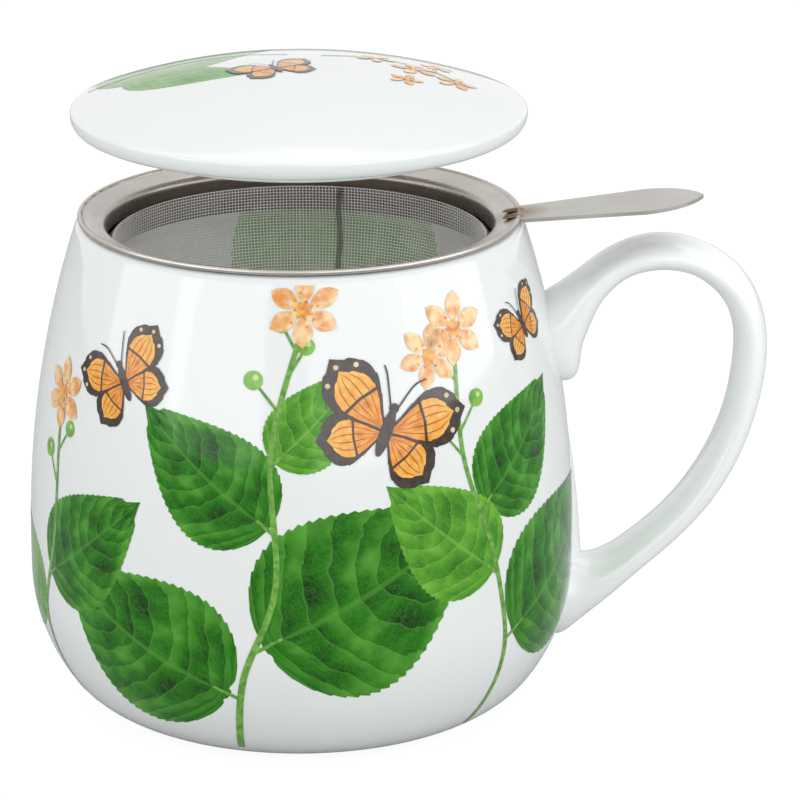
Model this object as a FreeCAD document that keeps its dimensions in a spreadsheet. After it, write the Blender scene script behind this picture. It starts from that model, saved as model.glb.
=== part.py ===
import FreeCAD
import Part
import math
import os
import re
import Sketcher

# Lidded tea mug with a lift-out strainer. Millimetres, +Z up, origin at the centre of the foot
# ring on the table. The handle points along +X. The lid hovers above the strainer, taken off.

# Driving dimensions
SIZES = {
    # mug body, a surface of revolution
    "belly_radius": 49.7,
    "belly_low": 26.0,
    "belly_high": 32.0,
    "belly_curve": 33.0,
    "base_curve": 16.3,
    "mug_wall": 3.5,
    "rim_height": 90.5,
    "mouth_radius": 38.9,
    "floor_height": 4.6,
    "floor_corner": 12.0,
    "foot_width": 3.4,
    "foot_recess": 1.4,
    # handle, a bow of oval section with flared roots
    "handle_reach": 84.8,
    "handle_thick": 6.0,
    "handle_width": 13.4,
    "bow_top": 86.6,
    "bow_curve": 16.2,
    "back_curve": 48.7,
    "back_height": 66.3,
    "upper_slope": 38.0,
    "lower_slope": 39.8,
    "root_width": 15.0,
    "root_sink": 2.5,
    # each root's top and low outline: where it meets the wall, its slope there and its easing
    "upper_top_x": 44.4,
    "upper_top": 76.1,
    "upper_top_slope": 30.0,
    "upper_top_pull": 4.0,
    "upper_top_ease": 4.0,
    "upper_low_x": 50.3,
    "upper_low": 61.0,
    "upper_low_slope": 82.0,
    "upper_low_pull": 5.0,
    "upper_low_ease": 6.6,
    "upper_low_turn": 216.0,
    "lower_top_x": 49.2,
    "lower_top": 26.4,
    "lower_top_slope": -18.0,
    "lower_top_pull": 8.0,
    "lower_top_ease": 5.0,
    "lower_low_x": 47.4,
    "lower_low": 10.5,
    "lower_low_slope": 33.0,
    "lower_low_pull": 6.0,
    "lower_low_ease": 6.3,
    "lower_low_turn": 170.0,
    "web_foot": 19.0,
    "web_top": 58.0,
    "web_proud": 2.3,
    "web_sink": 0.6,
    "web_width": 4.0,
    # strainer, pressed sheet and woven wire
    "ring_proud": 1.1,
    "roll_thick": 1.04,
    "sheet_thick": 0.5,
    "flange_slope": 18.0,
    "neck_clearance": 1.75,
    "neck_bend": 1.2,
    "neck_low": 83.0,
    "seat_gap": 0.2,
    "mesh_thick": 0.4,
    "mesh_top": 86.6,
    "basket_low": 28.0,
    "basket_draw": 8.5,
    "base_ring_height": 5.0,
    "base_ring_lip": 3.0,
    "clamp_height": 3.4,
    "clamp_drop": 0.6,
    # finger tab of the strainer
    "tab_azimuth": -3.0,
    "tab_rise": 6.3,
    "tab_thick": 0.7,
    "tab_length": 32.5,
    "tab_root_width": 9.3,
    "tab_wide": 15.2,
    "tab_swell": 22.0,
    "tab_inset": 0.4,
    "tip_curve": 11.3,
    "bead_inset": 1.2,
    "bead_length": 3.9,
    "bead_width": 1.1,
    "bead_height": 0.7,
    "bead_spacing": 4.4,
    # lid, a shallow dome with a locating ring
    "lid_proud": 0.9,
    "lid_hover": 107.4,
    "lid_edge": 2.9,
    "lid_dome": 7.96,
    "lid_shoulder": 0.9,
    "lid_under": 2.6,
    "lid_wall": 3.4,
    "plug_depth": 1.9,
    "plug_wall": 3.0,
    "plug_round": 0.9,
    "plug_clearance": 1.0,
}

# Sizes that follow from the driving dimensions
LAYOUT = {
    "belly_axis": "belly_radius - belly_curve",
    "base_axis": "belly_axis + sqrt((belly_curve - base_curve)^2 - (belly_low - base_curve)^2)",
    "base_share": "belly_curve / (belly_curve - base_curve)",
    "base_turn_x": "belly_axis + (base_axis - belly_axis) * base_share",
    "base_turn_z": "belly_low - (belly_low - base_curve) * base_share",
    "lip_radius": "mug_wall / 2",
    "lip_height": "rim_height - lip_radius",
    "ring_radius": "mouth_radius + ring_proud",
    "neck_radius": "mouth_radius - lip_radius - neck_clearance",
    "basket_radius": "neck_radius - basket_draw",
    "tab_tip": "ring_radius + tab_length",
    "tab_wide_at": "ring_radius + tab_swell",
    "lid_radius": "ring_radius + lid_proud",
    "lean_in": "belly_radius - mouth_radius",
    "lean_up": "lip_height - belly_high",
    "shoulder_curve": "(lean_in^2 + lean_up^2 - lip_radius^2) / (2 * (lean_in - lip_radius))",
    "lean_x": "(shoulder_curve - lean_in) / (shoulder_curve - lip_radius)",
    "lean_z": "lean_up / (shoulder_curve - lip_radius)",
    "rim_out_x": "mouth_radius + lip_radius * lean_x",
    "rim_out_z": "lip_height + lip_radius * lean_z",
    "rim_in_x": "mouth_radius - lip_radius * lean_x",
    "rim_in_z": "lip_height - lip_radius * lean_z",
    "inner_curve": "belly_curve - mug_wall",
    "corner_rise": "belly_low - floor_height - floor_corner",
    "corner_axis": "belly_axis + sqrt((inner_curve - floor_corner)^2 - corner_rise^2)",
    "corner_share": "inner_curve / (inner_curve - floor_corner)",
    "corner_turn_x": "belly_axis + (corner_axis - belly_axis) * corner_share",
    "corner_turn_z": "belly_low - corner_rise * corner_share",
    "back_axis": "handle_reach - handle_thick / 2 - back_curve",
    "bow_height": "bow_top - handle_thick / 2 - bow_curve",
    "bow_axis": "back_axis + sqrt((back_curve - bow_curve)^2 - (bow_height - back_height)^2)",
    "bow_end": "asin((bow_height - back_height) / (back_curve - bow_curve)) / 1deg",
    "roll_radius": "roll_thick / 2",
    "roll_axis": "ring_radius - roll_radius",
    "half_sheet": "sheet_thick / 2",
    "slope_sin": "sin(flange_slope)",
    "slope_cos": "cos(flange_slope)",
    "seat_rise": "lip_radius + seat_gap + half_sheet + (roll_axis - mouth_radius) * slope_sin",
    "roll_height": "lip_height + seat_rise / slope_cos",
    "neck_mid": "neck_radius - half_sheet",
    "neck_bore": "neck_radius - sheet_thick",
    "bend_axis": "neck_mid + neck_bend",
    "bend_drop": "((roll_axis - bend_axis) * slope_sin + neck_bend) / slope_cos",
    "bend_height": "roll_height - bend_drop",
    "bend_over": "neck_bend + half_sheet",
    "bend_under": "neck_bend - half_sheet",
    "roll_join": "sqrt(roll_radius^2 - half_sheet^2)",
    "mesh_bore": "neck_bore - mesh_thick",
    "floor_low": "basket_low + sheet_thick",
    "wall_low": "floor_low + mesh_thick",
    "wall_turn": "neck_low - clamp_drop",
    "base_bore": "basket_radius - sheet_thick",
    "basket_taper": "(neck_bore - base_bore) / (wall_turn - wall_low)",
    "base_spread": "(base_ring_height - sheet_thick - mesh_thick) * basket_taper",
    "tab_root": "ring_radius - tab_inset",
    "tab_under": "roll_height - tab_thick / 2",
    "tab_over": "roll_height + tab_thick / 2",
    "tab_climb": "(tab_tip - ring_radius) * tan(tab_rise)",
    "lid_corner": "lid_hover + lid_edge",
    "lid_arm": "lid_radius - lid_shoulder",
    "lid_curve": "(lid_arm^2 + lid_dome^2 - lid_shoulder^2) / (2 * (lid_dome - lid_shoulder))",
    "lid_apex": "lid_corner + lid_dome",
    "lid_centre": "lid_apex - lid_curve",
    "lid_share": "lid_curve / (lid_curve - lid_shoulder)",
    "lid_turn_x": "lid_arm * lid_share",
    "lid_turn_z": "lid_centre + (lid_curve - lid_dome) * lid_share",
    "plug_out": "neck_bore - plug_clearance",
    "plug_in": "plug_out - plug_wall",
    "plug_low": "lid_hover - plug_depth",
    "lid_inner": "lid_curve - lid_wall",
    "plug_meet": "lid_centre + sqrt(lid_inner^2 - plug_in^2)",
}

# Sections of the handle's loft: points round each, then counts along it
OVAL_POINTS = 12
FLARE_STEPS = 5
BOW_STEPS = 5
BACK_STEPS = 4
WEB_STEPS = 4

doc = FreeCAD.newDocument("tea_mug")


# Spreadsheets
def fill_sheet(name, cells, formula):
    sheet = doc.addObject("Spreadsheet::Sheet", name)
    for row, (alias, content) in enumerate(cells.items(), start=1):
        sheet.set(f"A{row}", alias)
        sheet.set(f"B{row}", formula(content))
        sheet.setAlias(f"B{row}", alias)
    return sheet


def with_sheets(text, own=None):
    """Puts the sheet's name before each alias in an expression."""
    def qualify(match):
        word = match.group()
        if word in SIZES and own != "Sizes":
            return "Sizes." + word
        if word in LAYOUT and own != "Layout":
            return "Layout." + word
        return word
    return re.sub(r"[a-z][a-z_]*", qualify, text)


fill_sheet("Sizes", SIZES, str)
doc.recompute()
layout = fill_sheet("Layout", LAYOUT, lambda text: "=" + with_sheets(text, own="Layout"))
doc.recompute()


def value(text):
    """The number that an expression of the sheets gives now."""
    result = layout.evalExpression(with_sheets(text, own="Layout"))
    return float(getattr(result, "Value", result))


# Sketches, closed outlines of lines and arcs whose corners are bound to the sheets
def arc_between(start, end, radius, turn):
    """The shorter arc from start to end; turn is +1 anticlockwise or -1 clockwise."""
    middle = (start + end) * 0.5
    half = (end - start) * 0.5
    side = FreeCAD.Vector(-half.y, half.x, 0)
    side.normalize()
    centre = middle + side * (turn * math.sqrt(max(radius**2 - half.Length**2, 0.0)))
    first, last = (start, end) if turn > 0 else (end, start)
    angles = [math.atan2(point.y - centre.y, point.x - centre.x) for point in (first, last)]
    circle = Part.Circle(centre, FreeCAD.Vector(0, 0, 1), radius)
    return Part.ArcOfCircle(circle, angles[0], angles[1])


def outline(body, name, plane, corners):
    """A sketch through the corners (x, y) or (x, y, radius, turn), the last two for an arc to it."""
    sketch = body.newObject("Sketcher::SketchObject", name)
    planes = {feature.Role: feature for feature in body.Origin.OriginFeatures}
    sketch.AttachmentSupport = [(planes[plane], "")]
    sketch.MapMode = "FlatFace"
    points = [FreeCAD.Vector(value(corner[0]), value(corner[1]), 0) for corner in corners]
    ends = []
    for index, corner in enumerate(corners):
        start, end = points[index - 1], points[index]
        if len(corner) == 2:
            sketch.addGeometry(Part.LineSegment(start, end), False)
            ends.append((1, 2))
        else:
            sketch.addGeometry(arc_between(start, end, value(corner[2]), corner[3]), False)
            ends.append((1, 2) if corner[3] > 0 else (2, 1))
    count = len(corners)
    for index in range(count):
        after = (index + 1) % count
        sketch.addConstraint(
            Sketcher.Constraint("Coincident", index, ends[index][1], after, ends[after][0]))
    for index, corner in enumerate(corners):
        place = (index, ends[index][1])
        bind(sketch, ("DistanceX", -1, 1, *place), corner[0], points[index].x)
        bind(sketch, ("DistanceY", -1, 1, *place), corner[1], points[index].y)
        if len(corner) == 4:
            bind(sketch, ("Radius", index), corner[2], value(corner[2]))
    return sketch


def bind(sketch, kind, text, now):
    """Adds one dimension whose value is an expression of the sheets."""
    number = sketch.addConstraint(Sketcher.Constraint(*kind, now))
    if not re.fullmatch(r"[-0-9.]+", text):
        sketch.setExpression(f"Constraints[{number}]", with_sheets(text))


# Sub-parts
SUB_PARTS = {}


def new_body(label):
    body = doc.addObject("PartDesign::Body", label)
    body.Label = label
    return body


def turned(label, corners, keep=True):
    """A body of revolution about Z from its half section in the XZ plane."""
    body = new_body(label)
    sketch = outline(body, label + "_section", "XZ_Plane", corners)
    turn = body.newObject("PartDesign::Revolution", label + "_turn")
    turn.Profile = sketch
    turn.ReferenceAxis = (sketch, ["V_Axis"])
    turn.Angle = 360.0
    sketch.Visibility = False
    if keep:
        SUB_PARTS[label] = body
    return body


# Mug body, with the outer side shared with the tool that trims the handle
OUTER_SIDE = [
    ("base_axis", "0"),
    ("base_turn_x", "base_turn_z", "base_curve", 1),
    ("belly_radius", "belly_low", "belly_curve", 1),
    ("belly_radius", "belly_high"),
    ("rim_out_x", "rim_out_z", "shoulder_curve", 1),
    ("mouth_radius", "rim_height", "lip_radius", 1),
]

turned("mug_body", [
    ("0", "foot_recess"),
    ("base_axis - foot_width - foot_recess", "foot_recess"),
    ("base_axis - foot_width", "0"),
    *OUTER_SIDE,
    ("rim_in_x", "rim_in_z", "lip_radius", 1),
    ("belly_radius - mug_wall", "belly_high", "shoulder_curve - mug_wall", -1),
    ("belly_radius - mug_wall", "belly_low"),
    ("corner_turn_x", "corner_turn_z", "inner_curve", -1),
    ("corner_axis", "floor_height", "floor_corner", -1),
    ("0", "floor_height"),
])

mug_form = turned("mug_form", [
    ("0", "0"),
    *OUTER_SIDE,
    ("0", "rim_height"),
], keep=False)


# Handle, lofted through ovals whose planes hold Y
def oval(top, low, width):
    """A closed oval from its top to its low point, both (x, z); width is its size along Y."""
    middle = FreeCAD.Vector((top[0] + low[0]) / 2, 0, (top[1] + low[1]) / 2)
    rise = FreeCAD.Vector(top[0] - low[0], 0, top[1] - low[1]) * 0.5
    points = []
    for number in range(OVAL_POINTS):
        angle = 2 * math.pi * number / OVAL_POINTS
        side = FreeCAD.Vector(0, width / 2 * math.sin(angle), 0)
        points.append(middle + rise * math.cos(angle) + side)
    curve = Part.BSplineCurve()
    even = [float(number) for number in range(OVAL_POINTS + 1)]
    curve.interpolate(Points=points, PeriodicFlag=True, Parameters=even)
    return Part.Wire(curve.toShape())


def loft(label, sections):
    solid = doc.addObject("Part::Feature", label)
    solid.Shape = Part.makeLoft(sections, True)
    return solid


def blend(start, end, share):
    return start * (1 - share) + end * share


def away(point, angle, length):
    """The point at a length from another, at an angle in degrees above +X."""
    turn = math.radians(angle)
    return point[0] + length * math.cos(turn), point[1] + length * math.sin(turn)


def easing(start, start_pull, end_pull, end, share):
    """A point of the cubic curve from start to end, drawn towards the two pull points."""
    weights = [(1 - share) ** 3, 3 * share * (1 - share) ** 2, 3 * share**2 * (1 - share), share**3]
    corners = (start, start_pull, end_pull, end)
    return tuple(sum(w * corner[axis] for w, corner in zip(weights, corners)) for axis in (0, 1))


def root_sections(name, inside, outside, heading):
    """Pairs (inside, outside, share) of the flare from the end of the bow into the wall.

    inside and outside are the bow's last points, heading its direction there in degrees.
    """
    ends = {}
    for side, start in (("top", inside), ("low", outside)):
        end = value(f"{name}_{side}_x"), value(f"{name}_{side}")
        pull = away(start, heading, value(f"{name}_{side}_pull"))
        back = away(end, value(f"{name}_{side}_slope"), value(f"{name}_{side}_ease"))
        ends[side] = (start, pull, back, end)
    pairs = []
    for number in range(1, FLARE_STEPS + 1):
        share = number / FLARE_STEPS
        pairs.append((easing(*ends["top"], share), easing(*ends["low"], share), share))
    for number in (1, 2):
        sunk = value("root_sink") * number
        top = away(ends["top"][3], value(f"{name}_top_slope") + 180, sunk)
        low = away(ends["low"][3], value(f"{name}_low_turn"), sunk)
        pairs.append((top, low, 1.0))
    return pairs


def handle_sections():
    """Ovals from inside the upper root, over the bow and down the back into the lower root."""
    thick = value("handle_thick")
    width = value("handle_width")
    root_width = value("root_width")
    start = 90 + value("upper_slope")
    change = value("bow_end")
    finish = value("lower_slope") - 90
    bow = value("bow_axis"), value("bow_height")
    back = value("back_axis"), value("back_height")
    bow_out = value("bow_curve + handle_thick / 2")
    back_out = value("back_curve + handle_thick / 2")
    upper = root_sections("upper", away(bow, start, bow_out),
                          away(bow, start, bow_out - thick), start + 90)
    lower = root_sections("lower", away(back, finish, back_out - thick),
                          away(back, finish, back_out), finish - 90)
    sections = []
    for top, low, share in reversed(upper):
        sections.append(oval(top, low, blend(width, root_width, share)))
    for number in range(BOW_STEPS):
        angle = blend(start, change, number / BOW_STEPS)
        sections.append(oval(away(bow, angle, bow_out), away(bow, angle, bow_out - thick), width))
    for number in range(BACK_STEPS + 1):
        angle = blend(change, finish, number / BACK_STEPS)
        sections.append(oval(away(back, angle, back_out), away(back, angle, back_out - thick), width))
    for top, low, share in lower:
        sections.append(oval(low, top, blend(width, root_width, share)))
    return sections


def web_sections():
    """Flat ovals of the low web that runs up the wall from the lower root and fades out."""
    sections = []
    for number in range(WEB_STEPS + 1):
        share = number / WEB_STEPS
        height = blend(value("web_foot"), value("web_top"), share)
        above = max(height - value("belly_high"), 0)
        wall_x = value("belly_radius") - above**2 / (2 * value("shoulder_curve"))
        proud = blend(value("web_proud"), -value("web_sink"), share)
        half_width = blend(value("handle_width"), value("web_width"), share) / 2
        axis = value("belly_radius") - value("mug_wall") * 2
        reach = wall_x + proud - axis
        sections.append(oval((axis - reach, height), (axis + reach, height), half_width * 2))
    return sections


def trimmed(label, sections):
    """A loft cut back to the outer side of the mug."""
    cut = doc.addObject("Part::Cut", label)
    cut.Base = loft(label + "_whole", sections)
    cut.Tool = mug_form
    return cut


mug_handle = doc.addObject("Part::Fuse", "mug_handle")
mug_handle.Label = "mug_handle"
mug_handle.Base = trimmed("handle_bow", handle_sections())
mug_handle.Tool = trimmed("handle_web", web_sections())
SUB_PARTS["mug_handle"] = mug_handle


# Strainer ring, pressed from sheet: rolled edge, sloping flange and neck
rim_blank = turned("rim_blank", [
    ("neck_bore", "neck_low"),
    ("neck_bore", "bend_height"),
    ("bend_axis - bend_over * slope_sin", "bend_height + bend_over * slope_cos", "bend_over", -1),
    ("roll_axis - roll_join * slope_cos - half_sheet * slope_sin",
     "roll_height - roll_join * slope_sin + half_sheet * slope_cos"),
    ("ring_radius", "roll_height", "roll_radius", -1),
    ("roll_axis - roll_join * slope_cos + half_sheet * slope_sin",
     "roll_height - roll_join * slope_sin - half_sheet * slope_cos", "roll_radius", -1),
    ("bend_axis - bend_under * slope_sin", "bend_height + bend_under * slope_cos"),
    ("neck_radius", "bend_height", "bend_under", 1),
    ("neck_radius", "neck_low"),
], keep=False)

# Notch in the rolled edge, where the tab is let in
notch = doc.addObject("Part::Box", "tab_notch")
notch.setExpression("Length", with_sheets("tab_inset + roll_thick"))
notch.setExpression("Width", with_sheets("tab_root_width + seat_gap * 2"))
notch.setExpression("Height", with_sheets("roll_thick * 2"))
turn_tab = FreeCAD.Rotation(FreeCAD.Vector(0, 0, 1), value("tab_azimuth"))
notch_corner = FreeCAD.Vector(value("tab_root"), value("-tab_root_width / 2 - seat_gap"),
                              value("roll_height - roll_thick"))
notch.Placement = FreeCAD.Placement(turn_tab.multVec(notch_corner), turn_tab)
infuser_rim = doc.addObject("Part::Cut", "infuser_rim")
infuser_rim.Label = "infuser_rim"
infuser_rim.Base = rim_blank
infuser_rim.Tool = notch
SUB_PARTS["infuser_rim"] = infuser_rim

# Clamp ring that holds the mesh against the neck
turned("infuser_clamp_ring", [
    ("mesh_bore - sheet_thick", "neck_low - clamp_drop + half_sheet"),
    ("mesh_bore - sheet_thick", "neck_low + clamp_height"),
    ("mesh_bore", "neck_low + clamp_height"),
    ("mesh_bore", "neck_low - clamp_drop + half_sheet"),
])

# Tapered wall of woven wire
turned("infuser_mesh_wall", [
    ("base_bore - mesh_thick", "wall_low"),
    ("mesh_bore", "wall_turn"),
    ("mesh_bore", "mesh_top"),
    ("neck_bore", "mesh_top"),
    ("neck_bore", "wall_turn"),
    ("base_bore", "wall_low"),
])

# Floor disc of woven wire
turned("infuser_mesh_floor", [
    ("0", "floor_low"),
    ("base_bore", "floor_low"),
    ("base_bore", "wall_low"),
    ("0", "wall_low"),
])

# Base ring that folds round the lower edge of the mesh
turned("infuser_base_ring", [
    ("base_bore - base_ring_lip", "basket_low"),
    ("basket_radius - half_sheet", "basket_low"),
    ("basket_radius", "basket_low + half_sheet", "half_sheet", 1),
    ("basket_radius + base_spread", "basket_low + base_ring_height"),
    ("base_bore + base_spread", "basket_low + base_ring_height"),
    ("base_bore", "wall_low"),
    ("base_bore", "floor_low"),
    ("base_bore - base_ring_lip", "floor_low"),
])


# Finger tab: its plan outline cut to its side outline
def extruded(label, plane, corners, length):
    """A pad of the outline, half of its length to each side of the plane."""
    body = new_body(label)
    sketch = outline(body, label + "_outline", plane, corners)
    pad = body.newObject("PartDesign::Pad", label + "_pad")
    pad.Profile = sketch
    pad.SideType = "Symmetric"
    pad.setExpression("Length", with_sheets(length))
    sketch.Visibility = False
    return body


tab_side = extruded("tab_side", "XZ_Plane", [
    ("tab_root", "tab_under"),
    ("ring_radius", "tab_under"),
    ("tab_tip", "tab_under + tab_climb"),
    ("tab_tip", "tab_over + tab_climb"),
    ("ring_radius", "tab_over"),
    ("tab_root", "tab_over"),
], "tab_wide * 2")

tab_plan = extruded("tab_plan", "XY_Plane", [
    ("tab_root", "tab_root_width / -2"),
    ("tab_wide_at", "tab_wide / -2"),
    ("tab_tip", "0", "tip_curve", 1),
    ("tab_wide_at", "tab_wide / 2", "tip_curve", 1),
    ("tab_root", "tab_root_width / 2"),
], "lid_hover * 2")

infuser_tab = doc.addObject("Part::Common", "infuser_tab")
infuser_tab.Label = "infuser_tab"
infuser_tab.Base = tab_side
infuser_tab.Tool = tab_plan
infuser_tab.Placement = FreeCAD.Placement(FreeCAD.Vector(0, 0, 0), turn_tab)
SUB_PARTS["infuser_tab"] = infuser_tab


# Two weld beads across the joint of tab and flange
def weld_bead(number, side):
    bead = doc.addObject("Part::Ellipsoid", f"weld_bead_{number}")
    bead.setExpression("Radius1", with_sheets("bead_height / 2"))
    bead.setExpression("Radius2", with_sheets("bead_length / 2"))
    bead.setExpression("Radius3", with_sheets("bead_width / 2"))
    lean = FreeCAD.Rotation(FreeCAD.Vector(0, 1, 0), value("-flange_slope / 2"))
    seat = FreeCAD.Vector(value("tab_root - bead_inset"),
                          side * value("bead_spacing / 2"),
                          value("roll_height + half_sheet / 2"))
    bead.Placement = FreeCAD.Placement(turn_tab.multVec(seat), turn_tab * lean)
    return bead


infuser_tab_welds = doc.addObject("Part::Compound", "infuser_tab_welds")
infuser_tab_welds.Label = "infuser_tab_welds"
infuser_tab_welds.Links = [weld_bead(1, -1), weld_bead(2, 1)]
SUB_PARTS["infuser_tab_welds"] = infuser_tab_welds

# Lid, a dome with a flat seat and a locating ring that drops into the neck
turned("lid", [
    ("0", "lid_apex - lid_wall"),
    ("plug_in", "plug_meet", "lid_inner", -1),
    ("plug_in", "plug_low + plug_round"),
    ("plug_in + plug_round", "plug_low", "plug_round", 1),
    ("plug_out - plug_round", "plug_low"),
    ("plug_out", "plug_low + plug_round", "plug_round", 1),
    ("plug_out", "lid_hover"),
    ("lid_radius - lid_under", "lid_hover"),
    ("lid_radius", "lid_hover + lid_under", "lid_under", 1),
    ("lid_radius", "lid_corner"),
    ("lid_turn_x", "lid_turn_z", "lid_shoulder", 1),
    ("0", "lid_apex", "lid_curve", 1),
])

doc.recompute()

# Every object sound, then one file for each sub-part
for item in doc.Objects:
    if "Invalid" in item.State or "Error" in item.State:
        raise RuntimeError(f"{item.Name} failed: {item.State}")
os.makedirs("parts", exist_ok=True)
for label, item in SUB_PARTS.items():
    shape = item.Shape
    if shape.isNull() or not shape.isValid() or not shape.Solids:
        raise RuntimeError(f"{label} has no sound solid")
    shape.exportStep(f"parts/{label}.step")
    box = shape.optimalBoundingBox(False)
    print(f"{label}: {len(shape.Solids)} solid, {shape.Volume:.1f} mm3,"
          f" x {box.XMin:.2f} to {box.XMax:.2f}, y {box.YMin:.2f} to {box.YMax:.2f},"
          f" z {box.ZMin:.2f} to {box.ZMax:.2f}")
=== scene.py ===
import math
from functools import partial

import bpy
import numpy as np
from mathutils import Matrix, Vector


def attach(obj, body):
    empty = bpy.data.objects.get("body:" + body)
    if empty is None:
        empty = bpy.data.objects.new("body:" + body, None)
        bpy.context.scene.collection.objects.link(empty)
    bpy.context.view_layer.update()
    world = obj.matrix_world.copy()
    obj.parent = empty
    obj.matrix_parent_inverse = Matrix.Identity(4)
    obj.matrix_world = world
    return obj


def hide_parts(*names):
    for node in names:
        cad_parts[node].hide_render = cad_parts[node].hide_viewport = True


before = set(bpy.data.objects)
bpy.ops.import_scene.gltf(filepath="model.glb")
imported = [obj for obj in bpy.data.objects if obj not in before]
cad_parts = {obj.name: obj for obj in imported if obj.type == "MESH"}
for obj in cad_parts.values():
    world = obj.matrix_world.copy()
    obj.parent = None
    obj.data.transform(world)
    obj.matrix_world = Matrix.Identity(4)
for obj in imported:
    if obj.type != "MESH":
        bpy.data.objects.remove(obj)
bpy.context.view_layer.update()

# Sizes of the mug, strainer and lid, in millimetres, as the parts are built
MM = 0.001
BELLY_RADIUS = 49.7
BELLY_LOW = 26.0
BELLY_HIGH = 32.0
BELLY_CURVE = 33.0
BASE_CURVE = 16.3
MUG_WALL = 3.5
RIM_HEIGHT = 90.5
MOUTH_RADIUS = 38.9
FLOOR_HEIGHT = 4.6
FLOOR_CORNER = 12.0
FOOT_WIDTH = 3.4
FOOT_RECESS = 1.4
NECK_RADIUS = 35.4
SHEET = 0.5
MESH_THICK = 0.4
WALL_TURN = 82.4
BASKET_LOW = 28.0
BASKET_RADIUS = 26.9
LID_RADIUS = 40.9
LID_HOVER = 107.4
LID_EDGE = 2.9
LID_DOME = 7.96
LID_SHOULDER = 0.9
LID_UNDER = 2.6
LID_WALL = 3.4
PLUG_DEPTH = 1.9
PLUG_WALL = 3.0
PLUG_ROUND = 0.9
PLUG_CLEARANCE = 1.0
PLUG_FILLET = 0.5
FILLET_MIDDLE = 0.15
FOOT_EDGE_IN = 0.15
FOOT_EDGE_UP = 0.12

# Colours, linear
GLAZE = (0.775, 0.80, 0.79, 1)
# Painted light: the handle's glaze is a lighter copy of the body's, to make up for the less
# light the handle gets
HANDLE_LIT_GLAZE = (0.88, 0.905, 0.895, 1)
# Leaf tones: dark, mid, light and vein
GREEN_TONES = (
    (0.002, 0.038, 0.0006, 1), (0.012, 0.150, 0.0015, 1), (0.095, 0.34, 0.035, 1),
    (0.09, 0.30, 0.035, 1))
FRESH_TONES = (
    (0.02, 0.14, 0.004, 1), (0.06, 0.27, 0.012, 1), (0.17, 0.44, 0.04, 1), (0.22, 0.47, 0.09, 1))
INSIDE_TONES = (
    (0.16, 0.34, 0.10, 1), (0.24, 0.44, 0.15, 1), (0.36, 0.55, 0.24, 1), (0.42, 0.60, 0.30, 1))
SOFT_TONES = (
    (0.05, 0.19, 0.02, 1), (0.11, 0.29, 0.05, 1), (0.22, 0.42, 0.11, 1), (0.28, 0.46, 0.17, 1))
STEM_DARK = (0.07, 0.23, 0.02, 1)
STEM_LIGHT = (0.19, 0.42, 0.06, 1)
BERRY_DARK = (0.10, 0.30, 0.02, 1)
BERRY_GREEN = (0.20, 0.45, 0.04, 1)
TIP_DARK = (0.34, 0.56, 0.12, 1)
TIP_LIGHT = (0.50, 0.68, 0.25, 1)
PETAL_CREAM = (0.84, 0.62, 0.33, 1)
PETAL_ORANGE = (0.72, 0.27, 0.05, 1)
STAMEN_RUST = (0.55, 0.13, 0.02, 1)
STAMEN_YELLOW = (0.85, 0.42, 0.05, 1)
WING_RUST = (0.42, 0.10, 0.005, 1)
WING_ORANGE = (0.80, 0.27, 0.012, 1)
WING_YELLOW = (0.86, 0.47, 0.08, 1)
WING_BLACK = (0.018, 0.012, 0.010, 1)
WING_BROWN = (0.06, 0.035, 0.02, 1)
WING_CREAM = (0.72, 0.60, 0.42, 1)
SPOT_DULL = (0.5, 0.38, 0.22, 1)
SHEET_GREY = (0.52, 0.485, 0.45, 1)
TAB_GREY = (0.49, 0.47, 0.44, 1)
WIRE_GREY = (0.82, 0.80, 0.775, 1)
# Painted shade: the seam's wires are the wall's steel made darker, for the shade in the lapped
# double layer
LAP_SHADE_GREY = (0.22, 0.21, 0.19, 1)
WELD_BROWN = (0.36, 0.29, 0.22, 1)
WELD_DARK = (0.17, 0.11, 0.07, 1)
HEAT_BROWN = (0.22, 0.13, 0.07, 1)
NECK_BROWN = (0.17, 0.14, 0.115, 1)

# Glaze: gloss, and ripples and clouds in it
GLAZE_IOR = 1.5
COAT_WEIGHT = 0.25
COAT_ROUGHNESS = 0.04
RIPPLE_SCALE = 55
RIPPLE_STRENGTH = 0.06
RIPPLE_HEIGHT = 0.0006
GLAZE_CLOUD_SCALE = 30

# Printed leaf: how the side veins run, the net between them, and what weighs in the tone
VEIN_DRIFT_SCALE = 3.5
VEIN_DRIFT = 0.14
VEIN_CURVE = 1.35
VEIN_BEND = 0.26
VEIN_WEIGHT = 0.5
NET_SCALE = 38
NET_WIDTH = 0.09
NET_WEIGHT = 0.28
LEAF_CLOUD_SCALE = 4.5
RIB_SHADE = 0.30
CLOUD_SHADE = 1.7
EDGE_SHADE = 0.22
SHADE_OFFSET = 0.52
LEAF_SPECULAR = 0.15

# Printed wing: cells across, the bar along it, clouds and their fade outwards
WING_CELLS = 5.0
WING_BAR = 0.52
WING_CLOUD_SCALE = 6
WING_FADE = 0.35

# Steel: streaks, then places in metres of the weld and of the flange's low end
STREAK_TURN = 0.003
STREAK_STRENGTH = 0.10
STREAK_HEIGHT = 0.0001
WELD_PLACE = (0.0394, -0.0021, 0.0912)
HEAT_REACH = 0.006
FLANGE_LOW = 0.0886
FLANGE_RISE = 0.0016

# The print: lift of one layer off the glaze, margins at the lid's edge and the mug's foot,
# the step that finds the slope of the glaze, then the layer of each motif
PRINT_LIFT = 0.03
PRINT_MARGIN = 0.05
LOWEST_PRINT = 0.5
TANGENT_STEP = 0.2
LEAF_LAYER = 1
LEAF_LAYER_STEP = 0.5
LEAF_LAYERS = 4
STEM_LAYER = 3.2
BERRY_LAYER = 3.7
BERRY_TIP_LAYER = 4.2
PETAL_LAYER = 3.8
PETAL_LAYER_STEP = 0.3
STAMEN_LAYER = 5.0
ANTHER_LAYER = 5.4
REAR_WING_LAYER = 4.6
FRONT_WING_LAYER = 5.6
WING_CELL_RISE = 0.5
SPOT_LAYER = 6.8
BODY_LAYER = 7.2
HEAD_LAYER = 7.6


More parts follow.
